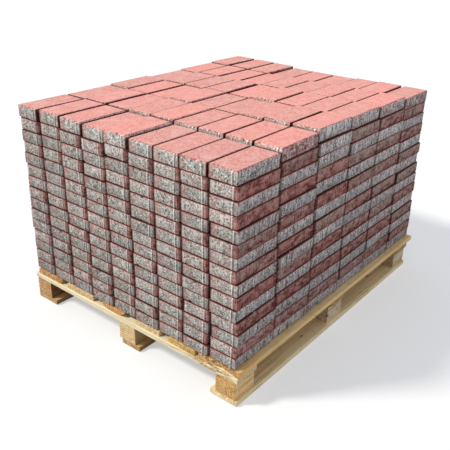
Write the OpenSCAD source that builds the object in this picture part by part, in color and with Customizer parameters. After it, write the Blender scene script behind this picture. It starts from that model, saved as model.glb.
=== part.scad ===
// Stack of two-tone concrete pavers on a softwood block pallet.
// X runs across the short side, Y along the long side, and Z is up from the floor.
// The origin lies on the floor, below the middle of the loaded pallet.

/* [Paver] */
// Length of a paver without its spacer ribs
paver_l = 198; // [160:1:240]
// Width of a paver without its spacer ribs
paver_w = 98; // [80:1:120]
// Thickness of the pavers in the end rows
paver_t = 42; // [30:1:80]
// Bevel round the top face
bevel = 3; // [1:0.5:6]
// How far a spacer rib stands out from its side
rib_out = 2.5; // [1:0.25:4]
// Width of a spacer rib at its root
rib_w = 9; // [5:0.5:14]
// Distance from the right end of a side, or of half a side, to the rib's middle
rib_inset = 16; // [10:0.5:30]

/* [Stack] */
// Columns of pavers across the short side
columns = 9; // [8:1:11]
// Columns of pavers along the long side
rows = 6; // [4:1:7]
// Layers of pavers
layers = 15; // [4:1:20]
// Free joint beside a rib, between columns across the short side
side_play = 4; // [2:0.5:8]
// Narrowest of those joints
tight_play = 1; // [0.5:0.25:2]
// Share of those joints that chance has moved about in the lower layers
looseness = 0.35; // [0:0.05:1]
// Share of those joints that chance has moved about in the top layer
top_looseness = 1; // [0:0.05:1]
// Free joint beside a rib, between columns along the long side
end_play = 2.5; // [2:0.5:8]
// How much wider the side joints of the lowest layer are than those of the top layer
foot_spread = 1.6; // [0:0.1:3]
// How much thicker the pavers in the middle of the right-hand side are than those at its ends
crown = 1.1; // [0:0.05:1.6]
// Largest difference in thickness between two columns of one row
uneven = 0.6; // [0:0.05:1]
// Largest shift of a whole layer across the short side
layer_shift = 3; // [0:0.5:6]
// Largest distance that a loose outer paver has slipped outwards
stray = 5; // [0:0.5:10]
// How far the top layer leans over to the left of the lowest one
lean = 10; // [0:1:14]

/* [Pallet] */
// Thickness of the deck boards
deck_t = 18; // [12:1:28]
// Widths of the deck boards, from the left edge of the pallet to the right
deck_widths = [133, 143, 115, 109, 115, 160]; // [80:1:170]
// Shares of the free width that go to the gaps between them, from left to right
gap_shares = [32, 43, 54, 38, 13]; // [5:1:80]
// How far the first deck board lies in from the ends of the stringers
deck_inset = 13; // [0:1:40]
// How far the deck reaches past the ends of the stack
end_margin = 9; // [0:1:40]
// How far the deck reaches past the sides of the lowest layer
side_margin = 12; // [0:1:40]
// How far the middle of the pallet lies to the right of the middle of the stack
pallet_offset = 8; // [0:1:10]
// Thickness of the stringer boards below the deck
stringer_t = 18; // [12:1:28]
// Width of the stringer boards
stringer_w = 100; // [70:1:140]
// How far the front stringer stands out past the deck boards
stringer_out = 5; // [0:0.5:12]
// How far the deck boards reach past the rear stringer
deck_overhang = 44; // [0:1:80]
// Height of the blocks
block_h = 66; // [50:1:100]
// Width of the blocks across the pallet
block_w = 76; // [60:1:85]
// Thickness of the runner boards on the floor
runner_t = 18; // [12:1:28]
// Width of the left and right runner boards
runner_w = 105; // [100:1:140]
// Width of the middle runner board
middle_runner_w = 84; // [76:1:140]
// How far the left, middle and right runner reach past the right-hand faces of their blocks
runner_reaches = [28, 20, 8]; // [0:1:40]
// Distance from the ends of the stringers to the outer faces of the blocks
block_inset = 8; // [0:1:15]
// How far the middle blocks lie to the right of the middle of the pallet
middle_shift = 12; // [0:1:30]
// Radius of the log that shows as a round underside on the waney boards
log_r = 110; // [90:1:200]
// Depth of the flat that is sawn on that underside
wane_flat = 3; // [1:0.5:6]

/* [Hidden] */
// Share of the free joint along the long side that one paver may wander into
wander = 0.12;
// Gap left beside a paver that has turned in its joint
slack = 0.3;
// Step to which the thickness of a column is rounded
thickness_step = 0.01;
// Gap kept between the hidden core and the pavers round it
core_gap = 1;
// Seeds that fix the chance thickness of columns, and the chance offsets of pavers, joints and layers
column_seed = 71849;
paver_seed = 100;
joint_seed = 2332;
layer_seed = 9000;
// Numbers of the deck board and the stringer that were cut from the outside of the log
waney_deck = 2;
waney_stringer = 1;
// Facets of the log's outline
log_facets = 180;

end_pitch = paver_l + rib_out + end_play;
mid_column = (columns - 1) / 2;
mid_row = (rows - 1) / 2;
top_layer = layers - 1;

stack_l = (rows - 1) * end_pitch + paver_l;
stack_w = (columns - 1) * side_pitch(0) + paver_w;
deck_l = stack_l + 2 * end_margin;
pallet_w = stack_w + 2 * side_margin;
stack_x = -pallet_offset / 2;
pallet_left = pallet_offset / 2 - pallet_w / 2;
pallet_right = pallet_left + pallet_w;
deck_top = runner_t + block_h + stringer_t + deck_t;
stringer_z = runner_t + block_h;
front_y = -(deck_l + stringer_out) / 2;
rear_y = front_y + stringer_out + deck_l - deck_overhang;
stringer_ys = [front_y, (front_y + rear_y - stringer_w) / 2, rear_y - stringer_w];
middle_block_x = (pallet_left + pallet_right - block_w) / 2 + middle_shift;
block_xs = [pallet_left + block_inset, middle_block_x, pallet_right - block_inset - block_w];
runner_widths = [runner_w, middle_runner_w, runner_w];
deck_spare = pallet_w - deck_inset - sum(deck_widths);

concrete_red = "#a5584d";
concrete_grey = "#9a9791";
timber = "#dcb87c";

side_names = ["left", "middle", "right"];
place_names = ["front", "middle", "rear"];

function two_digits(n) = n < 10 ? str("0", n) : str(n);
function layer_name(k) = str("paver_layer_", two_digits(k + 1));
function deck_name(n) = str("deck_board_", n + 1);
function stringer_name(n) = str("stringer_board_", place_names[n]);
function runner_name(n) = str("runner_board_", side_names[n]);
function block_name(side, place) = str("block_", side_names[side], "_", place_names[place]);

function total(list, count) = count == 0 ? 0 : list[count - 1] + total(list, count - 1);
function sum(list) = total(list, len(list));

// The side joints open a little from the top layer down
function side_pitch(k) =
    paver_w + rib_out + side_play + foot_spread * (top_layer - k) / top_layer;

// The stack is arched along its right-hand side and level along its left-hand side
function arch(i, j) = crown * i / (columns - 1) * (1 - pow((j - mid_row) / mid_row, 2));

function is_outer(i, j) = i == 0 || i == columns - 1 || j == 0 || j == rows - 1;

// Every paver of one column has the same thickness, so it lies flat on the one below
function column_t(i, j) =
    let (chance = rands(-1, 1, 1, column_seed + i + columns * j)[0])
    thickness_step * round((paver_t + arch(i, j) + uneven / 2 * chance) / thickness_step);

// A layer lies where the lean puts it, and a little off by chance
function layer_x(k) =
    stack_x + layer_shift * rands(-1, 1, 1, layer_seed + k)[0] - lean * k / top_layer;

// Free joints of one row, shared out by chance, so that some close up and others gape
function joint_plays(j, k) =
    let (
        loose = k == top_layer ? top_looseness : looseness,
        spare = side_pitch(k) - paver_w - rib_out - tight_play,
        chance = rands(0, 1, columns - 1, joint_seed + j + rows * k),
        shares = [for (v = chance) 1 - loose + loose * v * v],
        each_share = spare * (columns - 1) / sum(shares)
    )
    [for (share = shares) tight_play + each_share * share];

function column_x(i, k, plays) =
    layer_x(k) + (paver_w + rib_out) * i + total(plays, i) - mid_column * side_pitch(k);

function row_y(j) = (j - mid_row) * end_pitch;

// Largest turn at which the corners of a paver stay inside the joints round it
function free_turn(play) =
    min(asin(max(0, play - slack) / paver_l), asin(max(0, end_play * (1 - 2 * wander) - slack) / paver_w));

// Direction in which an outer paver can slip: away from its only neighbour
function outwards(n, count) = n == 0 ? -1 : n == count - 1 ? 1 : 0;

// Plan outline of one side of a paver, from its left end to its right, with a rib in each stretch
function ribbed_side(length, ribs) = [
    for (n = [0 : ribs - 1])
        let (middle = -length / 2 + (n + 1) * length / ribs - rib_inset)
        each [[middle - rib_w / 2, 0], [middle, -rib_out], [middle + rib_w / 2, 0]]
];

// A side's points, moved out to its face and turned to its quarter
function placed_side(points, reach, quarter) = [
    for (p = points)
        let (x = p[0], y = p[1] - reach)
        [x * cos(90 * quarter) - y * sin(90 * quarter), x * sin(90 * quarter) + y * cos(90 * quarter)]
];

function with_corner(points, half) = concat([[-half, 0]], points);

paver_outline = concat(
    placed_side(with_corner(ribbed_side(paver_w, 1), paver_w / 2), paver_l / 2, 0),
    placed_side(with_corner(ribbed_side(paver_l, 2), paver_l / 2), paver_w / 2, 1),
    placed_side(with_corner(ribbed_side(paver_w, 1), paver_w / 2), paver_l / 2, 2),
    placed_side(with_corner(ribbed_side(paver_l, 2), paver_l / 2), paver_w / 2, 3)
);

// Section of a bevelled paver, wide enough for the ribs, which the bevel cuts off below the top
function bevelled_section(width, thickness) = [
    [-width / 2 - rib_out, 0],
    [width / 2 + rib_out, 0],
    [width / 2 + rib_out, thickness - bevel - rib_out],
    [width / 2 - bevel, thickness],
    [-width / 2 + bevel, thickness],
    [-width / 2 - rib_out, thickness - bevel - rib_out]
];

module section_along_y(width, length, thickness) {
    rotate([90, 0, 0])
        linear_extrude(height = length + 2 * rib_out, center = true)
            polygon(bevelled_section(width, thickness));
}

module paver(thickness) {
    intersection() {
        linear_extrude(height = thickness) polygon(paver_outline);
        section_along_y(paver_w, paver_l, thickness);
        rotate([0, 0, 90]) section_along_y(paver_l, paver_w, thickness);
    }
}

module placed_paver(i, j, k) {
    chance = rands(-1, 1, 4, paver_seed + i + columns * (j + rows * k));
    thickness = column_t(i, j);
    plays = joint_plays(j, k);
    narrow_play = min(plays[max(i - 1, 0)], plays[min(i, columns - 2)]);
    slip_x = stray * max(0, chance[2]) * outwards(i, columns);
    slip_y = stray * max(0, chance[3]) * outwards(j, rows);
    x = column_x(i, k, plays) + slip_x;
    y = row_y(j) + wander * end_play * chance[0] + slip_y;
    translate([x, y, deck_top + k * thickness])
        rotate([0, 0, free_turn(narrow_play) * chance[1]])
            paver(thickness);
}

// The top layer is whole, and each layer below it shows its outer ring
module paver_layer(k) {
    color(k % 2 == 0 ? concrete_grey : concrete_red)
        for (i = [0 : columns - 1])
            for (j = [0 : rows - 1])
                if (k == top_layer || is_outer(i, j))
                    placed_paver(i, j, k);
}

// Top of the core, under one paver of the top layer and inside the limits of the core
module core_column(i, j, core_w, core_l) {
    middle_x = column_x(i, top_layer, joint_plays(j, top_layer));
    from_x = max(middle_x - paver_w / 2 + bevel, stack_x - core_w / 2);
    to_x = min(middle_x + paver_w / 2 - bevel, stack_x + core_w / 2);
    from_y = max(row_y(j) - paver_l / 2 + bevel, -core_l / 2);
    to_y = min(row_y(j) + paver_l / 2 - bevel, core_l / 2);
    translate([from_x, from_y, deck_top])
        cube([to_x - from_x, to_y - from_y, top_layer * column_t(i, j)]);
}

// The hidden pavers as one block, stepped on top to carry each paver of the top layer
module paver_core() {
    reach = rib_out + side_play / 2 + layer_shift + lean + core_gap;
    end_reach = rib_out + end_play / 2 + core_gap;
    core_w = 2 * (mid_column * side_pitch(top_layer) - paver_w / 2 - reach);
    core_l = 2 * (mid_row * end_pitch - paver_l / 2 - end_reach);
    color(concrete_grey) {
        translate([stack_x - core_w / 2, -core_l / 2, deck_top])
            cube([core_w, core_l, (top_layer - 1) * paver_t]);
        for (i = [1 : columns - 2])
            for (j = [1 : rows - 2])
                core_column(i, j, core_w, core_l);
    }
}

module sawn_section(width, thickness) {
    translate([-width / 2, 0]) square([width, thickness]);
}

// Section of a board, round below where it was cut from the outside of the log
module board_section(width, thickness, waney) {
    if (waney)
        intersection() {
            sawn_section(width, thickness);
            translate([0, log_r - wane_flat]) circle(r = log_r, $fn = log_facets);
        }
    else
        sawn_section(width, thickness);
}

// The gaps between the deck boards take what the boards leave of the pallet's width
module deck_board(n) {
    width = deck_widths[n];
    gaps_before = deck_spare * total(gap_shares, n) / sum(gap_shares);
    left_x = pallet_left + deck_inset + total(deck_widths, n) + gaps_before;
    color(timber)
        translate([left_x + width / 2, front_y + stringer_out + deck_l, deck_top - deck_t])
            rotate([90, 0, 0])
                linear_extrude(height = deck_l) board_section(width, deck_t, n == waney_deck);
}

module stringer_board(n) {
    color(timber)
        translate([pallet_left, stringer_ys[n] + stringer_w / 2, stringer_z])
            rotate([90, 0, 90])
                linear_extrude(height = pallet_w)
                    board_section(stringer_w, stringer_t, n == waney_stringer);
}

module block(side, place) {
    color(timber)
        translate([block_xs[side], stringer_ys[place], runner_t])
            cube([block_w, stringer_w, block_h]);
}

module runner_board(n) {
    right_x = block_xs[n] + block_w + runner_reaches[n];
    color(timber)
        translate([right_x - runner_widths[n], front_y, 0])
            cube([runner_widths[n], rear_y - front_y, runner_t]);
}

for (k = [0 : top_layer])
    paver_layer(k);
paver_core();
for (n = [0 : len(deck_widths) - 1])
    deck_board(n);
for (n = [0 : 2])
    stringer_board(n);
for (side = [0 : 2])
    for (place = [0 : 2])
        block(side, place);
for (n = [0 : 2])
    runner_board(n);
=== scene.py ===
import math
from types import SimpleNamespace

import bpy
import numpy as np
from mathutils import Matrix, Vector


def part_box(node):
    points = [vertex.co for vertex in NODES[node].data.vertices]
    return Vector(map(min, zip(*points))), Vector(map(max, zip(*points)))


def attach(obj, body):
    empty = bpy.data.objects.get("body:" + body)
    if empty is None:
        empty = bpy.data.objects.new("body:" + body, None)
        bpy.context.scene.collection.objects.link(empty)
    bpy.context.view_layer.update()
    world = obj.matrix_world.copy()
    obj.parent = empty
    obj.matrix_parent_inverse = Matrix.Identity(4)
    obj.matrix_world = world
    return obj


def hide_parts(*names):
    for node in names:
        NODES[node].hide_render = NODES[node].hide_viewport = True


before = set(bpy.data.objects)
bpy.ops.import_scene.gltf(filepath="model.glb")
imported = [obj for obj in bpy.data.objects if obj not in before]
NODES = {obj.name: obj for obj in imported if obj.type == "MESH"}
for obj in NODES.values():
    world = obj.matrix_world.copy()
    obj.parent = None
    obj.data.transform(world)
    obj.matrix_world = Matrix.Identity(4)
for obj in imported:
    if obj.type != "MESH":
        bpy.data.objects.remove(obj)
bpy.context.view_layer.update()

# Paver, in metres
PAVER_W = 0.098
PAVER_L = 0.198
PAVER_T = 0.042
BEVEL = 0.003
RIB_OUT = 0.0025
RIB_W = 0.009
RIB_INSET = 0.016
RIB_AT = PAVER_W / 2 - RIB_INSET
CORNER = 0.0016
SKIRT = 0.012

# Worn edges: rows of the distance from the foot or the face, and the step inwards there
FOOT = 0.0022
FOOT_EDGE = ((0.0, 0.0022), (0.0008, 0.0008))
FACE_EDGE = ((0.0012, 0.0001), (0.0003, 0.0004), (0.0, 0.0007), (0.0, 0.0040))
ROUND_MIDDLE = 0.3
SHARP = math.radians(22)

# Chips and roughness of the pavers
CHIP_R = 0.003
SIDE_CHIP_R = 0.008
TOP_CHIP_R = 0.0045
GRIT, GRIT_SIZE = 0.00022, 0.0065
HOLLOW, HOLLOW_SIZE = 0.0012, 0.009
SMOOTH_DEPTH = 0.0005

# Stack
COLUMNS = 9
ROWS = 6
LAYERS = 15
SIDE_PITCH = 0.105
END_PITCH = 0.203

# Spacing of the points on sides that show, on the top layer's other sides and on hidden sides
FINE_STEP = 0.0042
TOP_STEP = 0.009
HIDDEN_STEP = 1.0
SHOWN_RINGS = 8
HIDDEN_RINGS = 2

# Light in the joints: where it starts to fade and how far it then reaches, on the ends and on the long sides
JOINT_FADE = ((0.0, 0.003), (0.003, 0.012))
# The same on top, below the face of the paver beside it
TOP_FADE_START, TOP_FADE = 0.0002, 0.0014
# Painted shade at the mouths of the joints: how dark, how far from the corner and from what depth
MOUTH_SHADE, MOUTH_W, MOUTH_DEPTH = 0.75, 0.0040, 0.004

# Share of the red mix on the red side, less in each row towards the rear, and on the grey side
RED_COVER = (0.42, 0.80)
RED_LOSS = 0.04
GREY_SMEAR = (0.0, 0.12)
TOP_SMEAR = (0.05, 0.9, 0.9, 0.9)

# Timber
LOG_R = 0.110
WANE_FLAT = 0.003
BOARD_EDGE_R = 0.0022
BOARD_END_R = 0.0014
BOARD_STEP = 0.016
BLOCK_STEP = 0.010
TORN_STEP = 0.005
SECTION_STEP = 0.009
TORN_SECTION_STEP = 0.003
SAW_GRAIN, SAW_DEPTH = (0.01, 0.005, 0.005), 0.0006
TORN_DEPTH = 0.008
SLIVER_TIP = 0.15


# Seeded noise on arrays of points

def lattice(ix, iy, iz, seed):
    h = (ix * 374761393 + iy * 668265263 + iz * 2147483647 + seed * 974711) & 0xFFFFFFFF
    h = ((h ^ (h >> 13)) * 1274126177) & 0xFFFFFFFF
    return ((h ^ (h >> 16)) & 0xFFFFFFFF) / 0xFFFFFFFF * 2 - 1


def noise(points, size, seed):
    """Smooth noise from -1 to 1 at each point, with lumps of that size (one number, or one for each axis)."""
    p = points / size
    cell = np.floor(p).astype(np.int64)
    f = p - cell
    f = f * f * (3 - 2 * f)
    out = np.zeros(p.shape[:-1])
    for corner in np.ndindex(2, 2, 2):
        w = np.ones(p.shape[:-1])
        for axis in range(3):
            w = w * (f[..., axis] if corner[axis] else 1 - f[..., axis])
        out += w * lattice(*(cell[..., a] + corner[a] for a in range(3)), seed)
    return out


# Meshes

# Kind of attribute and its field, by the number of values at each point
ATTRIBUTES = {1: ("FLOAT", "value"), 3: ("FLOAT_VECTOR", "vector"), 4: ("FLOAT_COLOR", "color")}


def new_piece(name, node, verts, smooth_faces, flat_faces, material, attributes):
    """A mesh object that stands for a CAD node."""
    me = bpy.data.meshes.new(name)
    me.from_pydata(verts.tolist(), [], smooth_faces + flat_faces)
    smooth = np.arange(len(me.polygons)) < len(smooth_faces)
    me.polygons.foreach_set("use_smooth", smooth)
    for key, values in attributes.items():
        kind, field = ATTRIBUTES[values.shape[1]]
        me.attributes.new(key, kind, "POINT").data.foreach_set(field, values.ravel())
    me.materials.append(material)
    me.validate()
    me.update()
    me.set_sharp_from_angle(angle=SHARP)
    obj = bpy.data.objects.new(name, me)
    bpy.context.scene.collection.objects.link(obj)
    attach(obj, "root")
    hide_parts(node)
    return obj


def tube_faces(rings, count, flip=False):
    """The quads between rings of points and the two caps, all of them turned round if flip."""
    grid = np.arange(rings * count).reshape(rings, count)
    a, b = grid[:-1], np.roll(grid[:-1], -1, axis=1)
    c, d = np.roll(grid[1:], -1, axis=1), grid[1:]
    way = -1 if flip else 1
    quads = np.stack([a, b, c, d], -1).reshape(-1, 4)[:, ::way].tolist()
    return quads, [grid[0][::-way].tolist(), grid[-1][::way].tolist()]


def solids_of(node):
    """The corner points of each separate solid of a CAD node."""
    me = NODES[node].data
    co = np.empty(len(me.vertices) * 3)
    me.vertices.foreach_get("co", co)
    loops = np.empty(len(me.loops), np.int32)
    me.loops.foreach_get("vertex_index", loops)
    points, index = np.unique(np.round(co.reshape(-1, 3), 6), axis=0, return_inverse=True)
    tris = index.ravel()[loops.reshape(-1, 3)]
    label = np.arange(len(points))
    while True:
        low = label[tris].min(axis=1)
        before = label.copy()
        for corner in range(3):
            np.minimum.at(label, tris[:, corner], low)
        if (label == before).all():
            break
    return [points[label == n] for n in np.unique(label)]


# One paver. Its sides count from the front end round to the right, and 1 and 3 are the long ones

def paver_place(points):
    """Middle of the top face, turn about Z, height of the top face and thickness of one paver."""
    top = points[:, 2].max()
    flat = points[points[:, 2] > top - 1e-5][:, :2]
    corner = {(a, b): flat[np.argmax(flat @ (a, b))] for a in (-1, 1) for b in (-1, 1)}
    middle = sum(corner.values()) / 4
    along = corner[1, 1] + corner[-1, 1] - corner[1, -1] - corner[-1, -1]
    return middle, math.atan2(-along[0], along[1]), top, top - points[:, 2].min()


def paver_outline(steps):
    """Plan outline of a paver: rows of side, place along that side and stand-out from its face."""
    rows = []
    for side in range(4):
        half = (PAVER_W, PAVER_L)[side % 2] / 2
        ribs = 1 + side % 2
        keys = [(CORNER - half, 0.0), (SKIRT - half, 0.0)]
        for n in range(ribs):
            middle = -half + (n + 1) * 2 * half / ribs - RIB_INSET
            keys += [(middle - RIB_W / 2, 0.0), (middle, RIB_OUT), (middle + RIB_W / 2, 0.0)]
        keys += [(half - SKIRT, 0.0), (half - CORNER, 0.0)]
        rows.append((side, ROUND_MIDDLE * CORNER - half, -ROUND_MIDDLE * CORNER))
        for (s0, o0), (s1, o1) in zip(keys, keys[1:]):
            n = max(1, round((s1 - s0) / steps[side]))
            rows += [(side, s0 + (s1 - s0) * m / n, o0 + (o1 - o0) * m / n) for m in range(n)]
        rows.append((side, *keys[-1]))
    return np.array(rows)


def paver_rings(rows, thickness, walls):
    """Rings of points from the foot to the face: depth, place along the side and distance from the middle."""
    odd = rows[:, 0].astype(int) % 2
    half = np.where(odd, PAVER_L, PAVER_W) / 2
    reach = np.where(odd, PAVER_W, PAVER_L) / 2
    depths = [thickness - up for up, _ in FOOT_EDGE]
    depths += list(np.linspace(thickness - FOOT, BEVEL + RIB_OUT, walls))
    depths += [BEVEL] + [down for down, _ in FACE_EDGE]
    worn = [back for _, back in FOOT_EDGE] + [0.0] * (walls + 1) + [back for _, back in FACE_EDGE]
    depth = np.array(depths)[:, None]
    worn = np.array(worn)[:, None]
    along = rows[:, 1] * (half - (np.maximum(0, BEVEL - depth) + worn)) / half
    face = reach + (np.minimum(rows[:, 2], depth - BEVEL) - worn)
    return np.broadcast_to(depth, along.shape), along, face


def paver_chips(rng, rows, size, along, face, open_rows, thickness, largest):
    """How far chips along the edges and down the corners bite into each point, inwards and downwards."""
    side = rows[:, 0].astype(int)
    flat = np.stack([np.where(side % 2, face, along), np.where(side % 2, along, face), size], -1)
    corners = rows[:, 2] < 0
    wear = np.zeros(along.shape)
    drop = np.zeros(along.shape)
    for n in range(rng.integers(2, 6)):
        at = rng.integers(len(rows))
        level = rng.choice([0.0, BEVEL, BEVEL, thickness])
        if rng.random() < 0.3:
            at = rng.choice(np.nonzero(corners)[0])
            level = rng.uniform(0, thickness)
        radius = rng.uniform(CHIP_R, largest)
        deep = rng.uniform(0.25, 0.5) * radius
        if open_rows[at]:
            ring = np.argmin(abs(size[:, 0] - level))
            centre = np.array([flat[ring, at, 0], flat[ring, at, 1], level])
            near = np.linalg.norm(flat - centre, axis=-1) / radius
            same = (side == side[at]) | corners
            bite = deep * np.clip(1 - near ** 2, 0, 1) * same
            bite[-1] = 0
            wear = np.maximum(wear, bite)
            drop = np.maximum(drop, bite * (level < thickness / 2) * 0.6)
    return wear, drop


def joint_light(x, y, size, rows, shown, clear, on_top):
    """1 where a paver lies open and 0 deep in a joint, as painted shade. The mouths of the joints get painted
    shade as well.
    """
    side = rows[:, 0].astype(int)
    visible = shown[side]
    if on_top:
        below = size - np.array(clear)[side] - TOP_FADE_START
        lit = 1 - np.clip(below / TOP_FADE, 0, 1) * ~visible
    else:
        inward = [y + PAVER_L / 2, PAVER_W / 2 - x, PAVER_L / 2 - y, x + PAVER_W / 2]
        inside = np.min([distance for distance, s in zip(inward, shown) if s], axis=0)
        start, reach = np.array(JOINT_FADE)[side % 2].T
        lit = np.clip(1 - (inside - start) / reach, 0, 1)
    open_corner = np.where(rows[:, 1] > 0, shown[(side + 1) % 4], shown[(side - 1) % 4])
    to_corner = np.where(side % 2, PAVER_L, PAVER_W) / 2 - np.abs(rows[:, 1])
    mouth = MOUTH_SHADE * np.clip(1 - (to_corner - CORNER) / MOUTH_W, 0, 1) * ~open_corner * visible
    return lit * (1 - mouth * np.clip(size / MOUTH_DEPTH, 0, 1))


def paver_mesh(i, j, k, place, clear):
    """Vertices, faces and shading values of one paver, rough and chipped on the sides that show.

    clear gives, for each side, how far the paver stands above the one beside it.
    """
    middle, turn, top, thickness = place
    rng = np.random.default_rng(1000 + i + COLUMNS * (j + ROWS * k))
    on_top = k == LAYERS - 1
    shown = np.array([j == 0, i == COLUMNS - 1, j == ROWS - 1, i == 0])
    rows = paver_outline([FINE_STEP if s else TOP_STEP if on_top else HIDDEN_STEP for s in shown])
    side = rows[:, 0].astype(int)
    visible = shown[side]
    size, along, face = paver_rings(rows, thickness, SHOWN_RINGS if any(shown) else HIDDEN_RINGS)
    wear, drop = paver_chips(rng, rows, size, along, face, visible | on_top, thickness,
                             TOP_CHIP_R if on_top else SIDE_CHIP_R)
    quarter = side * math.pi / 2
    cos_q, sin_q = np.cos(quarter), np.sin(quarter)
    cos_t, sin_t = math.cos(turn), math.sin(turn)

    def placed(outward, z):
        """Place on the paver, and in the world, of points at that distance from its middle."""
        x = along * cos_q + outward * sin_q
        y = along * sin_q - outward * cos_q
        world = [middle[0] + x * cos_t - y * sin_t, middle[1] + x * sin_t + y * cos_t, z]
        return x, y, np.stack(world, -1)

    rest = placed(face, top - size)[2]
    rough = GRIT * (1 + noise(rest, GRIT_SIZE, 11))
    rough = rough + HOLLOW * np.clip(noise(rest, HOLLOW_SIZE, 12) - 0.35, 0, 1)
    rough = rough * visible * (size > SMOOTH_DEPTH)
    x, y, points = placed(face - rough - wear, top - size - drop)

    # The layers lie half a turn from each other, so the red side shows in every other one
    half_turn = k % 2 == 0 or (i, j, k) in GREY_OUT
    way = -1 if half_turn else 1
    local = np.stack([way * x, way * y, (size + drop) * PAVER_T / thickness], -1)
    red = rng.uniform(*RED_COVER) - RED_LOSS * j
    smear = rng.uniform(*GREY_SMEAR)
    if on_top and i < COLUMNS - 1:
        smear = rng.choice(TOP_SMEAR)
    red, smear = SMEARS.get((i, j, k), (red, smear))
    shading = {
        "place": local.reshape(-1, 3),
        "tone": np.tile((rng.random(), red, smear, rng.random()), (x.size, 1)),
        "lit": joint_light(x, y, size, rows, shown, clear, on_top).reshape(-1, 1),
        "turned": np.full((x.size, 1), float(half_turn)),
    }
    quads, caps = tube_faces(*x.shape)
    return points.reshape(-1, 3), quads, caps, shading


# Pavers on the right-hand side that lie with their grey side out
GREY_OUT = {(8, 2, 13)}
# Pavers that differ from the rest of their layer: red mix on the red side and on the grey side
SMEARS = {
    (4, 0, 14): (0.8, 0.03),
    (6, 0, 14): (0.8, 0.2),
    (8, 0, 14): (0.8, 0.02),
    (8, 1, 14): (0.8, 0.55),
    (8, 2, 14): (0.8, 0.05),
    (8, 3, 14): (0.8, 0.25),
    (8, 4, 14): (0.8, 0.42),
    (8, 5, 14): (0.8, 0.45),
    (8, 2, 13): (0.8, 0.04),
    (8, 4, 13): (0.55, 0.1),
}


# Colours

def linear(r, g, b):
    """A colour written as sRGB bytes, as the shader takes it."""
    return tuple(v / 255 / 12.92 if v <= 10 else ((v / 255 + 0.055) / 1.055) ** 2.4 for v in (r, g, b))


WHITE = (1.0, 1.0, 1.0)

# Grey body, its cooler long sides, its stones and its washed patches
GREY_DARK, GREY_PALE = linear(100, 97, 91), linear(220, 213, 204)
COOL_DARK, COOL_PALE = linear(99, 94, 93), linear(229, 219, 216)
STONE_DARK, STONE_PALE = linear(62, 60, 58), linear(254, 251, 245)
WASH_DARK, WASH_PALE = linear(112, 108, 100), linear(240, 237, 232)
COOL_END_TINT = (0.89, 0.93, 0.935)

# Red mix, and what shows of the body below it
RED_DARK, RED_PALE = linear(106, 52, 46), linear(200, 136, 128)
BLUSH, RED_EDGE, PALE_RIM = linear(194, 132, 120), linear(186, 124, 112), linear(240, 222, 210)
OLIVE, OLIVE_TINT = linear(150, 134, 124), (0.88, 0.79, 0.70)

# Worn corners with the painted highlight on the sunward flanks of the ribs, the painted shadow on the far
# sides of the ribs, and the painted shade in the pits
WEAR_AND_HIGHLIGHT, RIB_LEE_SHADE, PIT_SHADE = linear(240, 236, 228), linear(74, 66, 62), linear(46, 38, 36)

# Face mix of the top layer, and the painted shade in the joints there
FACE_DARK, FACE_PALE = linear(222, 142, 132), linear(255, 192, 182)
FACE_PATCH, FACE_OTHER, FACE_SPECK = linear(255, 206, 192), linear(230, 140, 128), linear(178, 100, 90)
BEVEL_DARK, BEVEL_PALE = linear(140, 84, 76), linear(226, 178, 168)
TOP_BODY_TINT = (1.12, 1.12, 1.12)
TOP_JOINT_SHADE = linear(132, 84, 78)

# Joints between the layers below: painted shade at the top of each edge and along each foot, the red face mix
# on the edge, and painted shade deep in the joints
EDGE_TOP_SHADE, EDGE_LOW, FOOT_SHADE = linear(56, 32, 28), linear(158, 88, 78), linear(66, 36, 31)
JOINT_SHADE = linear(112, 74, 66)

# Hidden core
CORE_DARK, CORE_PALE, CORE_RED = linear(112, 110, 107), linear(150, 148, 144), linear(128, 80, 72)

# Softwood
LATE_TINT = (0.60, 0.46, 0.30)
EARLY, SOIL, KNOT, CHECK = linear(252, 238, 204), linear(92, 74, 56), linear(104, 62, 32), linear(84, 52, 28)


# Materials

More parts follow.
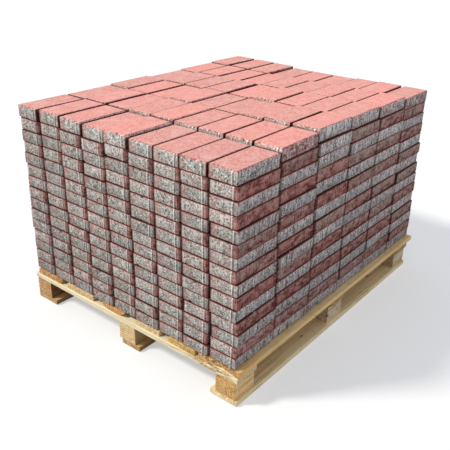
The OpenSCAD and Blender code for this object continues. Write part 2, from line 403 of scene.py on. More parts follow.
class Graph:
    """Builds one node material."""

    def __init__(self, name):
        self.material = bpy.data.materials.new(name)
        self.material.use_nodes = True
        self.tree = self.material.node_tree
        self.shader = self.tree.nodes["Principled BSDF"]

    def put(self, socket, value):
        if isinstance(value, bpy.types.NodeSocket):
            self.tree.links.new(value, socket)
        else:
            socket.default_value = value

    def node(self, kind, inputs, **settings):
        n = self.tree.nodes.new(kind)
        for key, value in settings.items():
            setattr(n, key, value)
        for key, value in inputs.items():
            self.put(n.inputs[key], value)
        return n

    def attribute(self, name):
        return self.node("ShaderNodeAttribute", {}, attribute_name=name).outputs

    def parts(self, vector):
        return self.node("ShaderNodeSeparateXYZ", {0: vector}).outputs

    def channels(self, colour):
        return self.node("ShaderNodeSeparateColor", {0: colour}).outputs

    def scaled(self, vector, scale):
        return self.node("ShaderNodeVectorMath", {0: vector, 1: scale}, operation="MULTIPLY").outputs[0]

    def math(self, operation, a, b=0.0):
        return self.node("ShaderNodeMath", {0: a, 1: b}, operation=operation).outputs[0]

    def times(self, a, b):
        return self.math("MULTIPLY", a, b)

    def plus(self, a, b):
        return self.math("ADD", a, b)

    def less(self, a, b):
        return self.math("SUBTRACT", a, b)

    def larger(self, a, b):
        return self.math("MAXIMUM", a, b)

    def invert(self, value):
        return self.less(1.0, value)

    def weigh(self, *shares):
        """Sum of values, each times its share."""
        total = None
        for value, share in shares:
            part = self.times(value, share)
            total = part if total is None else self.plus(total, part)
        return total

    def step(self, value, low, high):
        """0 below low and 1 above high, smooth between."""
        n = self.node("ShaderNodeMapRange", {"Value": value, "From Min": low, "From Max": high},
                      interpolation_type="SMOOTHSTEP")
        return n.outputs[0]

    def band(self, value, low, high, fall, end):
        """Rises from 0 to 1 between low and high, and falls back to 0 between fall and end."""
        return self.times(self.step(value, low, high), self.invert(self.step(value, fall, end)))

    def span(self, value, low, high, to_low=0.0, to_high=1.0):
        """to_low below low and to_high above high, straight between."""
        n = self.node("ShaderNodeMapRange", {
            "Value": value, "From Min": low, "From Max": high, "To Min": to_low, "To Max": to_high})
        return n.outputs[0]

    def between(self, share, a, b):
        """a where share is 0 and b where it is 1."""
        return self.span(share, 0.0, 1.0, a, b)

    def mix(self, factor, a, b, blend="MIX"):
        n = self.node("ShaderNodeMix", {}, data_type="RGBA", blend_type=blend)
        for socket, value in zip((n.inputs["Factor"], n.inputs[6], n.inputs[7]), (factor, a, b)):
            if isinstance(value, tuple) and len(value) == 3:
                value = (*value, 1.0)
            self.put(socket, value)
        return n.outputs[2]

    def lay(self, colour, mask, strength, over):
        """Lays another colour over the first one where mask is 1, at that strength."""
        return self.mix(self.times(mask, strength), colour, over)

    def tint(self, colour, other):
        return self.mix(1.0, colour, other, "MULTIPLY")

    def shade(self, colour, value):
        """The colour times one value."""
        grey = self.node("ShaderNodeCombineColor", {0: value, 1: value, 2: value})
        return self.tint(colour, grey.outputs[0])

    def noise(self, vector, scale, detail=2.0, roughness=0.5):
        n = self.node("ShaderNodeTexNoise", {
            "Vector": vector, "Scale": scale, "Detail": detail, "Roughness": roughness})
        return n.outputs["Fac"]

    def cells(self, vector, scale):
        return self.node("ShaderNodeTexVoronoi", {"Vector": vector, "Scale": scale}).outputs

    def finish(self, colour, roughness, height, distance, strength):
        """Sets the colour, the roughness and the bump, and gives the material."""
        self.put(self.shader.inputs["Base Color"], colour)
        self.put(self.shader.inputs["Roughness"], roughness)
        n = self.node("ShaderNodeBump", {"Height": height, "Distance": distance, "Strength": strength})
        self.put(self.shader.inputs["Normal"], n.outputs[0])
        return self.material


# Concrete. Places are in metres on the paver, with its red side at the right, and depths are below its face

LONG_SIDE = (PAVER_W / 2 - 0.0025, PAVER_W / 2 - 0.0015)
END_FACE = (PAVER_L / 2 - 0.0045, PAVER_L / 2 - 0.0035)


def concrete_values(g):
    """The values that the steps of the concrete share: places, chance, masks and noises."""
    v = SimpleNamespace()
    v.world = g.node("ShaderNodeTexCoord", {}).outputs["Object"]
    v.x, v.y, v.depth = g.parts(g.attribute("place")["Vector"])
    tone = g.attribute("tone")
    v.bright, v.red, v.smear = g.channels(tone["Color"])
    v.pinkness = tone["Alpha"]
    v.lit = g.attribute("lit")["Fac"]
    v.turned = g.attribute("turned")["Fac"]

    v.fine = g.noise(v.world, 420.0, 2.0, 0.6)
    v.grain = g.noise(v.world, 165.0, 2.0, 0.6)
    v.patch = g.noise(v.world, 34.0, 3.0, 0.6)
    v.laid = g.scaled(v.world, (1.0, 1.0, 2.2))
    v.spread = g.noise(v.laid, 30.0, 2.0, 0.55)
    pit_level = g.between(v.pinkness, 0.67, 0.62)
    v.pits = g.step(g.noise(v.world, 135.0), pit_level, g.plus(pit_level, 0.05))

    # The long sides, and the strips beyond the ribs on the ends, slid along the mould
    v.out_y = g.math("ABSOLUTE", v.y)
    v.long_side = g.step(g.math("ABSOLUTE", v.x), *LONG_SIDE)
    v.on_end = g.step(v.out_y, *END_FACE)
    v.across = g.times(g.times(v.x, v.y), -2 / PAVER_L)
    rib_end = RIB_AT + RIB_W / 2
    v.strip = g.times(g.step(v.across, rib_end, rib_end + 0.0015), v.on_end)
    streak = g.noise(g.scaled(v.world, (1.0, 1.0, 0.16)), 210.0, 2.0, 0.6)
    speckled = g.weigh((v.grain, 0.54), (v.fine, 0.32), (g.noise(v.world, 75.0), 0.14))
    streaky = g.weigh((streak, 0.58), (v.grain, 0.42))
    v.mottle = g.between(g.larger(v.long_side, v.strip), speckled, streaky)
    return v


def grey_body(g, v):
    """Sand and stone in cement, with pale and dark stones and marks of the mould."""
    contrast = g.span(v.mottle, 0.405, 0.595)
    grey = g.mix(contrast, GREY_DARK, GREY_PALE)
    grey = g.mix(v.long_side, grey, g.mix(contrast, COOL_DARK, COOL_PALE))
    cells = g.cells(v.world, 150.0)
    stone = g.invert(g.step(cells["Distance"], 0.30, 0.42))
    kind = g.channels(cells["Color"])[0]
    dark = g.times(stone, g.math("LESS_THAN", kind, g.span(v.patch, 0.4, 0.6, 0.10, 0.26)))
    pale = g.times(stone, g.math("GREATER_THAN", kind, 0.72))
    grey = g.lay(grey, dark, 0.66, STONE_DARK)
    grey = g.lay(grey, pale, 0.72, STONE_PALE)
    washed = g.noise(g.scaled(v.world, (1.0, 1.0, 0.3)), 58.0)
    grey = g.lay(grey, g.step(washed, 0.54, 0.72), 0.32, WASH_PALE)
    grey = g.lay(grey, g.step(washed, 0.46, 0.30), 0.24, WASH_DARK)
    return g.mix(g.times(v.turned, v.on_end), grey, g.tint(grey, COOL_END_TINT))


def blushed(g, v, grey):
    """A breath of the red mix near the top and the foot, in patches and along the red edge of the ends."""
    upper = g.invert(g.step(v.depth, 0.0035, 0.0140))
    lower = g.times(g.step(v.depth, 0.0280, 0.0390), 0.8)
    blush = g.times(g.larger(upper, lower), g.between(v.pinkness, 0.09, 0.40))
    patches = g.times(g.step(v.patch, 0.50, 0.70), g.between(v.pinkness, 0.0, 0.22))
    grey = g.mix(g.plus(blush, patches), grey, BLUSH)
    red_edge = g.times(g.step(v.x, 0.008, 0.046), v.on_end)
    grey = g.lay(grey, red_edge, g.span(v.patch, 0.3, 0.7, 0.30, 0.55), RED_EDGE)
    rim = g.times(g.band(g.plus(v.x, PAVER_W / 2), 0.001, 0.004, 0.006, 0.013), v.on_end)
    return g.lay(grey, rim, g.between(v.turned, 0.42, 0.16), PALE_RIM)


def smeared(g, v, grey):
    """Red mix smeared down from the top over the long sides and over the strip beside the red one."""
    red = g.mix(g.span(g.weigh((v.mottle, 0.5), (v.spread, 0.5)), 0.42, 0.58), RED_DARK, RED_PALE)
    olive = g.mix(0.5, g.tint(grey, OLIVE_TINT), OLIVE)
    lumps = g.weigh((g.noise(v.laid, 80.0), 0.36), (v.grain, 0.18))
    cover = g.span(g.plus(g.times(v.spread, 0.46), lumps), 0.28, 0.72)

    def covered(amount):
        return g.step(g.less(amount, cover), -0.33, 0.33)

    red_side = g.step(v.x, *LONG_SIDE)
    grey_side = g.step(g.times(v.x, -1.0), *LONG_SIDE)
    red_strip = g.times(g.times(v.strip, g.math("GREATER_THAN", v.x, 0.0)), g.between(cover, 1.0, 0.62))
    more_below = g.plus(v.red, g.span(v.depth, 0.018, 0.038, 0.0, 0.25))
    on_sides = g.larger(g.times(red_side, covered(more_below)), g.times(grey_side, covered(v.smear)))
    return g.mix(g.larger(on_sides, red_strip), g.mix(red_side, grey, olive), red)


def weathered_and_shaded(g, v, body):
    """Worn corners, painted highlight on the sunward flank of each rib and painted shadow on its far side,
    painted shade in the pits and beyond the ribs, and how bright the pavers are down each side and over the
    stack, with painted light towards its top.
    """
    flank = g.times(g.band(v.across, *(RIB_AT + d for d in (-0.0044, -0.0024, 0.0010, 0.0024))), v.on_end)
    lee = g.times(g.band(v.across, *(RIB_AT + d for d in (0.0016, 0.0028, 0.0042, 0.0058))), v.on_end)
    inner, outer = 0.0040, 0.0012
    corner = g.times(g.step(v.x, inner - PAVER_W / 2, outer - PAVER_W / 2),
                     g.step(v.out_y, PAVER_L / 2 - inner, PAVER_L / 2 - outer))
    # Painted highlight on the sunward flank and tip of each rib, and pale worn corners
    body = g.mix(g.larger(g.times(flank, 0.55), g.times(corner, 0.45)), body, WEAR_AND_HIGHLIGHT)
    # Painted shadow on the far side of each rib
    body = g.lay(body, lee, 0.45, RIB_LEE_SHADE)
    # Painted shade in the pits
    body = g.lay(body, v.pits, 0.85, PIT_SHADE)
    body = g.shade(body, g.span(v.depth, 0.004, 0.040, 1.20, 0.85))
    # Painted light towards the top of the stack and painted shade lower down; the ends also grow brighter
    # towards the right
    sideways, _, height = g.parts(v.world)
    body = g.shade(body, g.span(height, 0.12, 0.75, 0.94, 1.10))
    body = g.shade(body, g.between(v.on_end, 1.0, g.span(sideways, -0.45, 0.45, 0.94, 1.15)))
    # Painted shade on the strip beyond each rib, in its shadow
    return g.shade(body, g.between(v.strip, 1.0, 0.89))


def bleached_face(g, v):
    """Face mix of the top layer, bleached by the sun, with its bevel."""
    face = g.mix(g.span(v.grain, 0.34, 0.66), FACE_DARK, FACE_PALE)
    face = g.lay(face, g.step(v.patch, 0.42, 0.68), 0.5, FACE_PATCH)
    face = g.mix(g.between(v.bright, 0.0, 0.40), face, FACE_OTHER)
    face = g.lay(face, g.step(g.noise(v.world, 210.0, 1.0), 0.60, 0.70), 0.30, FACE_SPECK)
    bevel = g.mix(g.step(v.grain, 0.44, 0.56), BEVEL_DARK, BEVEL_PALE)
    return g.mix(g.invert(g.step(v.depth, 0.0002, 0.0012)), bevel, face)


def concrete_material(name, on_top):
    g = Graph(name)
    v = concrete_values(g)
    body = weathered_and_shaded(g, v, smeared(g, v, blushed(g, v, grey_body(g, v))))
    if on_top:
        body = g.tint(body, TOP_BODY_TINT)
        face = bleached_face(g, v)
    else:
        # Painted shadow along the foot of each paver, in the gap to the layer below
        body = g.lay(body, g.step(v.depth, 0.0408, 0.0418), 0.85, FOOT_SHADE)
        # The face mix on the edge, with painted shade at its top under the paver above
        face = g.mix(g.step(v.depth, 0.0010, 0.0030), EDGE_TOP_SHADE, EDGE_LOW)

    # The face mix ends in a wavy line, and the joints get painted shade, red-brown as the red mix on their
    # sides
    wavy = 0.35 if on_top else 1.0
    wobble = g.weigh((v.patch, 0.0024 * wavy), (v.grain, 0.0018 * wavy))
    face_layer = g.invert(g.step(g.less(v.depth, wobble), 0.0012, 0.0022))
    colour = g.mix(face_layer, body, face)
    # Painted shade deep in the joints, where lit falls to 0
    colour = g.tint(colour, g.mix(g.invert(v.lit), WHITE, TOP_JOINT_SHADE if on_top else JOINT_SHADE))
    colour = g.shade(colour, g.between(v.bright, 0.90, 1.10))
    g.shader.inputs["Specular IOR Level"].default_value = 0.25
    height = g.less(g.weigh((v.fine, 0.35), (v.mottle, 0.65)), g.times(v.pits, 0.8))
    return g.finish(colour, g.span(v.fine, 0.3, 0.7, 0.82, 0.97), height, 0.0017, 0.9)


def core_material():
    g = Graph("core_concrete")
    world = g.node("ShaderNodeTexCoord", {}).outputs["Object"]
    grain = g.noise(world, 210.0, 3.0, 0.6)
    colour = g.mix(g.step(grain, 0.3, 0.7), CORE_DARK, CORE_PALE)
    colour = g.lay(colour, g.step(g.noise(world, 30.0), 0.45, 0.65), 0.5, CORE_RED)
    return g.finish(colour, 0.92, grain, 0.001, 0.7)


# Wood. The grain attribute runs along the board, across it and up, with the pith at 0

RINGS_PER_METRE = 260.0


def late_wood(g, grain):
    """The dark part of each ring, on rings that bend a little along the board."""
    _, across, up = g.parts(grain)
    slow = g.noise(g.scaled(grain, (2.2, 14.0, 14.0)), 1.0)
    across = g.plus(across, g.times(g.less(slow, 0.5), 0.030))
    radius = g.math("SQRT", g.plus(g.times(across, across), g.times(up, up)))
    return g.band(g.math("FRACT", g.times(radius, RINGS_PER_METRE)), 0.35, 0.92, 0.94, 1.0)


def knots_and_checks(g, grain, colour):
    """Knots, and fine cracks along the grain."""
    knot = g.cells(g.scaled(grain, (5.0, 16.0, 16.0)), 1.0)["Distance"]
    knot = g.plus(knot, g.times(g.less(g.noise(grain, 90.0), 0.5), 0.06))
    colour = g.lay(colour, g.invert(g.step(knot, 0.06, 0.11)), 0.85, KNOT)
    line = g.math("ABSOLUTE", g.less(g.noise(g.scaled(grain, (4.0, 60.0, 60.0)), 1.0, 1.0), 0.56))
    crack = g.times(g.invert(g.step(line, 0.004, 0.012)), g.step(g.noise(grain, 18.0, 1.0), 0.50, 0.62))
    return g.lay(colour, crack, 0.7, CHECK)


def sides_and_ends(g, grain, colour):
    """Painted shade and painted light on a board's right-hand side, and its speckled sawn ends."""
    facing = g.parts(g.node("ShaderNodeNewGeometry", {}).outputs["Normal"])
    # Painted shade and painted light on the sides that face right
    colour = g.tint(colour, g.mix(g.step(facing[0], 0.5, 0.8), WHITE, g.attribute("right")["Vector"]))
    towards = [g.math("ABSOLUTE", facing[n]) for n in (0, 1)]
    at_end = g.step(g.between(g.attribute("lengthwise")["Fac"], *towards), 0.7, 0.9)
    speckle = g.span(g.noise(grain, 260.0, 2.0, 0.7), 0.36, 0.64, 0.55, 1.30)
    return g.shade(colour, g.between(at_end, 1.0, speckle))


def wood_material():
    g = Graph("softwood")
    grain = g.attribute("grain")["Vector"]
    board = g.attribute("board")
    late = late_wood(g, grain)
    fibres = g.noise(g.scaled(grain, (16.0, 620.0, 620.0)), 1.0, 2.0, 0.6)
    streaks = g.noise(g.scaled(grain, (3.0, 90.0, 90.0)), 1.0, 3.0, 0.6)
    dark = g.tint(board["Color"], LATE_TINT)
    colour = g.lay(board["Color"], late, 0.42, dark)
    colour = g.lay(colour, g.step(streaks, 0.50, 0.72), 0.40, dark)
    colour = g.lay(colour, g.step(fibres, 0.54, 0.8), 0.5, dark)
    colour = g.lay(colour, g.step(streaks, 0.56, 0.30), 0.35, EARLY)
    colour = g.lay(colour, g.step(g.noise(grain, 42.0, 4.0, 0.65), 0.48, 0.68), board["Alpha"], SOIL)
    colour = sides_and_ends(g, grain, knots_and_checks(g, grain, colour))
    g.shader.inputs["Specular IOR Level"].default_value = 0.3
    height = g.weigh((fibres, 0.6), (late, -0.3))
    return g.finish(colour, g.span(fibres, 0.3, 0.7, 0.68, 0.86), height, 0.0009, 0.7)


# Pavers

def build_pavers(material, top_material):
    for k in range(LAYERS):
        node = f"paver_layer_{k + 1:02d}"
        places = {}
        for points in solids_of(node):
            place = paver_place(points)
            i = round(place[0][0] / SIDE_PITCH + (COLUMNS - 1) / 2)
            j = round(place[0][1] / END_PITCH + (ROWS - 1) / 2)
            places[i, j] = place
        verts, faces, caps, shades = [], [], [], []
        start = 0
        for (i, j), place in places.items():
            beside = [places.get(at, place) for at in ((i, j - 1), (i + 1, j), (i, j + 1), (i - 1, j))]
            clear = [max(0.0, place[2] - other[2]) for other in beside]
            p, quads, ends, shading = paver_mesh(i, j, k, place, clear)
            verts.append(p)
            shades.append(shading)
            faces += [[v + start for v in q] for q in quads]
            caps += [[v + start for v in q] for q in ends]
            start += len(p)
        new_piece(f"pavers_{k + 1:02d}", node, np.concatenate(verts), faces, caps,
                  top_material if k == LAYERS - 1 else material,
                  {key: np.concatenate([s[key] for s in shades]) for key in shades[0]})


# Pallet timber. A board is made along its length, across it and up, and then laid along its axis

def board_section(width, thick, waney, rise_step):
    """Outline of a board's section from the left of its underside, which is round if waney."""
    radius = min(BOARD_EDGE_R, thick / 6)

    def under(v):
        if not waney:
            return np.zeros_like(v)
        return np.clip(LOG_R - WANE_FLAT - np.sqrt(LOG_R ** 2 - v ** 2), 0, thick)

    side = width / 2
    foot = under(np.array([side]))[0]
    worn = ROUND_MIDDLE * radius
    v = np.linspace(radius - side, side - radius, max(3, round(width / SECTION_STEP)) + 1)
    w = np.linspace(foot + radius, thick - radius, max(2, round(thick / rise_step)) + 1)
    section = list(zip(v, under(v)))
    section += [(side - worn, foot + worn)] + [(side, b) for b in w]
    section += [(side - worn, thick - worn)] + [(a, thick) for a in v[::-1]]
    section += [(worn - side, thick - worn)] + [(-side, b) for b in w[::-1]]
    section += [(worn - side, foot + worn)]
    return np.array(section)


def torn_share(spot, share, stretch, seed):
    """How far the wood is torn away at each point, from 0 to 1, within a stretch of the board's length."""
    within = np.clip((share - stretch[0]) * 14, 0, 1) * np.clip((stretch[1] - share) * 30, 0, 1)
    flake = noise(spot, (0.026, 0.0045, 0.0045), seed + 6)
    flake = flake + 0.5 * noise(spot, (0.008, 0.003, 0.003), seed + 7)
    return np.clip(flake * 0.6 + 0.5, 0.1, 0.9) * within


def timber_mesh(low, high, axis, seed, step, waney=False, ragged=0.0, torn=None):
    """A sawn board along axis between two corners, with worn edges, a little rough, and round below if waney.

    ragged is how far its front end is torn back. torn gives the stretch along it in which its front side, or
    its right-hand one, is split and broken, as shares of its length.
    """
    rng = np.random.default_rng(seed)
    other = 1 - axis
    length, width, thick = (high - low)[[axis, other, 2]]
    section = board_section(width, thick, waney, TORN_SECTION_STEP if torn else SECTION_STEP)
    inward = (np.array([0, thick / 2]) - section) / np.array([width / 2, thick / 2])
    edge = np.abs(inward)
    normal = np.where(edge == edge.max(axis=1, keepdims=True), np.sign(inward), 0)

    stations = max(4, round((length - 0.004) / step))
    along = np.concatenate([[0.0], np.linspace(BOARD_END_R, length - BOARD_END_R, stations + 1), [length]])
    grid = np.zeros((len(along), len(section), 3))
    grid[..., 0] = along[:, None]
    grid[..., 1:] = section
    spot = grid + rng.uniform(0, 50)
    rough = 0.00035 * (1 + noise(spot, (0.03, 0.004, 0.004), seed))
    nicks = 0.004 * np.clip(noise(spot, (0.03, 0.012, 0.012), seed + 1) - 0.45, 0, 1)
    inset = rough + nicks * np.clip(edge.min(axis=1) - 0.75, 0, 1) * 4
    inset[[0, -1]] += BOARD_END_R
    split = np.zeros(inset.shape)
    if torn:
        on_side = section[:, 0] > width / 2 - 0.004
        split = torn_share(spot, along[:, None] / length, torn, seed) * on_side
    grid[..., 1:] += normal * (inset + TORN_DEPTH * split)[..., None]

    # The ends are sawn a little unevenly, and a torn end is ragged
    if ragged:
        strip = noise(spot[0] * (1, 1, 0.2), (1, 0.006, 0.006), seed + 3)
        wide = noise(spot[0] * (1, 1, 0.2), (1, 0.024, 0.024), seed + 5)
        tear = ragged * np.clip(0.35 + 0.9 * strip + 0.5 * wide, 0, 1)
        grid[..., 0] += tear * np.clip(1 - along / (2.2 * ragged), 0, 1)[:, None]
    grid[0, :, 0] += SAW_DEPTH * (1 + noise(spot[0], SAW_GRAIN, seed + 2))
    grid[-1, :, 0] -= SAW_DEPTH * (1 + noise(spot[-1], SAW_GRAIN, seed + 4))

    pith = np.array([rng.uniform(-0.4, 0.4) * width, rng.choice([-1, 1]) * rng.uniform(0.03, 0.09)])
    if waney:
        pith = np.array([0.0, LOG_R - WANE_FLAT])
    local = grid.copy()
    local[..., 0] += rng.uniform(0, 20)
    local[..., 1:] -= pith
    world = np.empty_like(grid)
    world[..., axis] = low[axis] + grid[..., 0]
    world[..., other] = (low[other] + high[other]) / 2 + grid[..., 1] * (1 if axis == 1 else -1)
    world[..., 2] = low[2] + grid[..., 2]
    quads, caps = tube_faces(*split.shape, flip=axis == 0)
    return world.reshape(-1, 3), quads, caps, local.reshape(-1, 3), split.ravel()


def slivers(low, high, axis, strips):
    """Tapered strips of wood along axis, inside a board's box, each from its root, tip, width and height."""
    verts, faces, local = [], [], []
    for n, (root, tip, wide, tall) in enumerate(strips):
        start = len(verts)
        for end, share in ((root, 1.0), (tip, SLIVER_TIP)):
            for a, b in ((-1, -1), (1, -1), (1, 1), (-1, 1)):
                corner = np.array(end)
                corner[1 - axis] += a * wide * share / 2
                corner[2] += b * tall * share / 2
                verts.append(np.clip(corner, low, high))
                local.append((end[axis] - low[axis] + 3 * n, 0.05 + a * wide, 0.02 * n + b * tall))
        back, front = range(start, start + 4), range(start + 4, start + 8)
        sides = [[back[m], back[(m + 1) % 4], front[(m + 1) % 4], front[m]] for m in range(4)]
        sides += [list(front), list(back)[::-1]]
        outward = (tip[axis] < root[axis]) == (axis == 1)
        faces += sides if outward else [f[::-1] for f in sides]
    return np.array(verts), faces, np.array(local)


def end_splinters(low, high, seed, count=34):
    """Strips on the torn front end of a board along Y."""
    rng = np.random.default_rng(seed)
    strips = []
    for n in range(count):
        x, z = rng.uniform(low[0] + 0.004, high[0] - 0.004), rng.uniform(low[2] + 0.003, high[2] - 0.002)
        root = (x, low[1] + rng.uniform(0.022, 0.036), z)
        tip = (x + rng.normal(0, 0.004), low[1] + 0.014 * rng.random() ** 1.5, z + rng.normal(0, 0.003))
        strips.append((root, tip, rng.uniform(0.0012, 0.0050), rng.uniform(0.0010, 0.0038)))
    return strips


def side_splinters(low, high, seed, stretch, count=90):
    """Strips on the torn front side of a board along X."""
    rng = np.random.default_rng(seed)
    strips = []
    for n in range(count):
        x = low[0] + (high[0] - low[0]) * rng.uniform(*stretch)
        z = rng.uniform(low[2] + 0.001, high[2] - 0.001)
        reach = rng.choice([-1, 1]) * rng.uniform(0.010, 0.040)
        root = (x, low[1] + rng.uniform(0.004, 0.008), z)
        tip = (x + reach, low[1] + rng.uniform(0.0005, 0.005), z + rng.normal(0, 0.0025))
        strips.append((root, tip, rng.uniform(0.002, 0.004), rng.uniform(0.0014, 0.0036)))
    return strips


# Axis of the grain, colour as sRGB bytes and dirt of each piece of the pallet
TIMBER = {
    "deck_board_1": (1, (206, 150, 84), 0.5),
    "deck_board_2": (1, (232, 200, 152), 0.1),
    "deck_board_3": (1, (222, 164, 92), 0.3),
    "deck_board_4": (1, (238, 210, 156), 0.1),
    "deck_board_5": (1, (228, 184, 104), 0.2),
    # deck_board_6 is partly painted light: paler than its wood against the shade that the stack casts on it
    "deck_board_6": (1, (253, 218, 156), 0.15),
    "stringer_board_front": (0, (255, 242, 204), 0.03),
    "stringer_board_middle": (0, (214, 172, 112), 0.25),
    "stringer_board_rear": (0, (200, 164, 112), 0.4),
    "block_left_front": (1, (214, 164, 108), 0.45),
    "block_left_middle": (1, (206, 168, 116), 0.3),
    "block_left_rear": (1, (206, 168, 116), 0.3),
    "block_middle_front": (1, (248, 216, 162), 0.12),
    "block_middle_middle": (1, (206, 168, 116), 0.3),
    "block_middle_rear": (1, (206, 168, 116), 0.3),
    "block_right_front": (1, (230, 178, 106), 0.25),
    "block_right_middle": (1, (216, 186, 142), 0.3),
    "block_right_rear": (1, (214, 184, 140), 0.3),
    "runner_board_left": (1, (214, 172, 116), 0.3),
    "runner_board_middle": (1, (214, 172, 116), 0.3),
    "runner_board_right": (1, (255, 230, 178), 0.10),
}
# Tint of a piece's right-hand side against its other sides: painted shade within the pallet, and painted
# light on its right-hand pieces
RIGHT_SIDE_LIGHT = {
    "block_left_front": (0.30, 0.27, 0.24),
    "block_middle_front": (0.55, 0.52, 0.48),
    "runner_board_left": (0.45, 0.45, 0.45),
    "runner_board_middle": (0.6, 0.6, 0.6),
    "block_right_front": (1.40, 1.55, 1.85),
    "block_right_middle": (1.35, 1.45, 1.65),
    "block_right_rear": (1.35, 1.45, 1.65),
    "runner_board_right": (1.3, 1.3, 1.3),
    "deck_board_6": (1.25, 1.22, 1.15),
    "stringer_board_front": (1.0, 0.90, 0.76),
}
# Boards from the outside of the log, a board with a torn front end and one with a torn front side
WANEY = ("deck_board_3", "stringer_board_middle")
RAGGED = {"deck_board_6": 0.020}
TORN = {"stringer_board_front": (0.78, 0.985)}
# What torn wood loses of each channel of its colour, towards a torn end and in a torn side
END_LOSS, END_LOSS_LENGTH = (0.10, 0.30, 0.50), 0.15
SIDE_LOSS, SIDE_LOSS_MOST = (0.95, 1.08, 1.18), 0.92
# Splinters, from the darkest tint and what a pale one adds to it
SLIVER_DARK, SLIVER_GAIN = (0.62, 0.48, 0.34), (0.50, 0.62, 0.70)


def build_pallet(material):
    for seed, (node, (axis, colour, stain)) in enumerate(TIMBER.items()):
        low, high = (np.array(p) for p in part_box(node))
        step = BLOCK_STEP if node.startswith("block") else TORN_STEP if node in TORN else BOARD_STEP
        verts, quads, caps, local, split = timber_mesh(low, high, axis, 40 + 7 * seed, step, node in WANEY,
                                                       RAGGED.get(node, 0.0), TORN.get(node))
        paint = (*linear(*colour), stain)
        board = np.tile(paint, (len(verts), 1))
        board[:, :3] *= 1 - np.clip(split[:, None] * SIDE_LOSS, 0, SIDE_LOSS_MOST)
        strips = []
        if node in RAGGED:
            strips = end_splinters(low, high, 40 + seed)
        if node in TORN:
            strips = side_splinters(low, high, 40 + seed, TORN[node])
        if strips:
            more, faces, where = slivers(low, high, axis, strips)
            shade = np.tile(paint, (len(more), 1))
            pale = np.random.default_rng(seed).uniform(0.0, 1.0, len(strips)).repeat(8)[:, None]
            shade[:, :3] = np.clip(shade[:, :3] * (SLIVER_DARK + pale * SLIVER_GAIN), 0, 1)
            caps += [[v + len(verts) for v in f] for f in faces]
            verts, local = np.concatenate([verts, more]), np.concatenate([local, where])
            board = np.concatenate([board, shade])
        if node in RAGGED:
            near_end = np.clip(1 - (verts[:, 1:2] - low[1]) / END_LOSS_LENGTH, 0, 1)
            board[:, :3] *= 1 - near_end * END_LOSS
        # Painted shade and painted light for the piece's right-hand side
        right = np.tile(RIGHT_SIDE_LIGHT.get(node, WHITE), (len(verts), 1))
        lengthwise = np.full((len(verts), 1), float(axis))
        new_piece(f"timber_{node}", node, verts, quads, caps, material,
                  {"grain": local, "board": board, "right": right, "lengthwise": lengthwise})


# Camera fitted to the photo, in degrees, metres and millimetres of lens
AZIMUTH, ELEVATION, ROLL = 37.99, 25.64, -1.77
CAMERA_AT = (1.3555, -1.8097, 1.3180)
LENS, SENSOR = 50.16, 36.0

# Floor and light
FLOOR_REACH, FLOOR_LEVEL = 40.0, -0.0006
FLOOR_SHOWN, FLOOR_GLOW, FLOOR_BOUNCE = 0.6, 0.42, 0.45
SUN_FROM, SUN_WIDTH = (-0.48, -0.50, 0.72), 9
SUN_ENERGY, SUN_COLOUR = 2.5, (1.0, 0.97, 0.91)
SKY = (0.47, 0.50, 0.55)


def build_camera():
    azimuth, elevation, roll = (math.radians(a) for a in (AZIMUTH, ELEVATION, ROLL))
    level = math.cos(elevation)
    back = Vector((math.sin(azimuth) * level, -math.cos(azimuth) * level, math.sin(elevation)))
    right = Vector((0, 0, 1)).cross(back).normalized()
    up = back.cross(right)
    turned_right = math.cos(roll) * right - math.sin(roll) * up
    turned_up = math.sin(roll) * right + math.cos(roll) * up
    data = bpy.data.cameras.new("camera")
    data.sensor_width = SENSOR
    data.lens = LENS
    data.clip_end = 100.0
    camera = bpy.data.objects.new("camera", data)
    turn = Matrix((turned_right, turned_up, back)).transposed().to_4x4()
    camera.matrix_world = Matrix.Translation(CAMERA_AT) @ turn
    bpy.context.scene.collection.objects.link(camera)
    bpy.context.scene.camera = camera


def looking(tree):
    """1 for a ray that shows what it meets, straight, mirrored or through glass."""
    path = tree.nodes.new("ShaderNodeLightPath").outputs
    total = path["Is Camera Ray"]
    for kind in ("Is Glossy Ray", "Is Transmission Ray"):
        n = tree.nodes.new("ShaderNodeMath")
        n.operation = "MAXIMUM"
        tree.links.new(total, n.inputs[0])
        tree.links.new(path[kind], n.inputs[1])
        total = n.outputs[0]
    return total


def show_or_light(tree, lights, shows, out):
    """Links a shader for the light that bounces, and one for the rays that show it, to the output."""
    pick = tree.nodes.new("ShaderNodeMixShader")
    for socket, source in zip(pick.inputs, (looking(tree), lights, shows)):
        tree.links.new(source, socket)
    tree.links.new(pick.outputs[0], out)


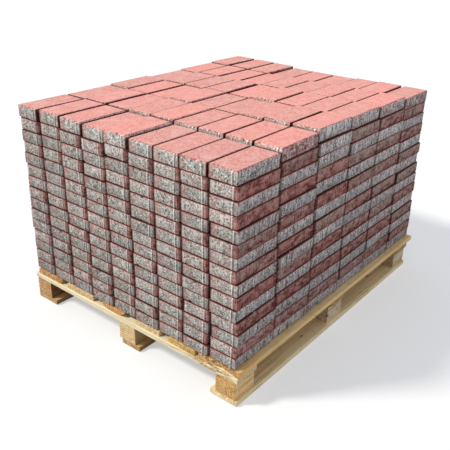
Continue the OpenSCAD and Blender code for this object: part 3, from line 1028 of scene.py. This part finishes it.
def build_floor():
    me = bpy.data.meshes.new("floor")
    corners = ((-1, -1), (1, -1), (1, 1), (-1, 1))
    me.from_pydata([(x * FLOOR_REACH, y * FLOOR_REACH, FLOOR_LEVEL) for x, y in corners], [], [(0, 1, 2, 3)])
    mat = bpy.data.materials.new("floor")
    mat.use_nodes = True
    tree = mat.node_tree
    tree.nodes.clear()
    shown, bounce = (tree.nodes.new("ShaderNodeBsdfDiffuse") for n in range(2))
    shown.inputs["Color"].default_value = (*[FLOOR_SHOWN] * 3, 1)
    bounce.inputs["Color"].default_value = (*[FLOOR_BOUNCE] * 3, 1)
    glow = tree.nodes.new("ShaderNodeEmission")
    glow.inputs["Strength"].default_value = FLOOR_GLOW
    both = tree.nodes.new("ShaderNodeAddShader")
    tree.links.new(shown.outputs[0], both.inputs[0])
    tree.links.new(glow.outputs[0], both.inputs[1])
    out = tree.nodes.new("ShaderNodeOutputMaterial")
    show_or_light(tree, bounce.outputs[0], both.outputs[0], out.inputs[0])
    me.materials.append(mat)
    floor = bpy.data.objects.new("floor", me)
    bpy.context.scene.collection.objects.link(floor)


def build_light():
    data = bpy.data.lights.new("key", "SUN")
    data.energy = SUN_ENERGY
    data.angle = math.radians(SUN_WIDTH)
    data.color = SUN_COLOUR
    key = bpy.data.objects.new("key", data)
    key.rotation_mode = "QUATERNION"
    key.rotation_quaternion = Vector(SUN_FROM).to_track_quat("Z", "Y")
    bpy.context.scene.collection.objects.link(key)

    world = bpy.data.worlds.new("world")
    bpy.context.scene.world = world
    world.use_nodes = True
    tree = world.node_tree
    sky = tree.nodes["Background"]
    sky.inputs["Color"].default_value = (*SKY, 1)
    sky.inputs["Strength"].default_value = 1.0
    backdrop = tree.nodes.new("ShaderNodeBackground")
    backdrop.inputs["Color"].default_value = (1, 1, 1, 1)
    show_or_light(tree, sky.outputs[0], backdrop.outputs[0], tree.nodes["World Output"].inputs[0])
    bpy.context.scene.view_settings.view_transform = "Standard"


build_camera()
build_floor()
build_light()
build_pavers(concrete_material("paver_concrete", False), concrete_material("paver_concrete_top", True))
build_pallet(wood_material())
NODES["paver_core"].data.materials.clear()
NODES["paver_core"].data.materials.append(core_material())
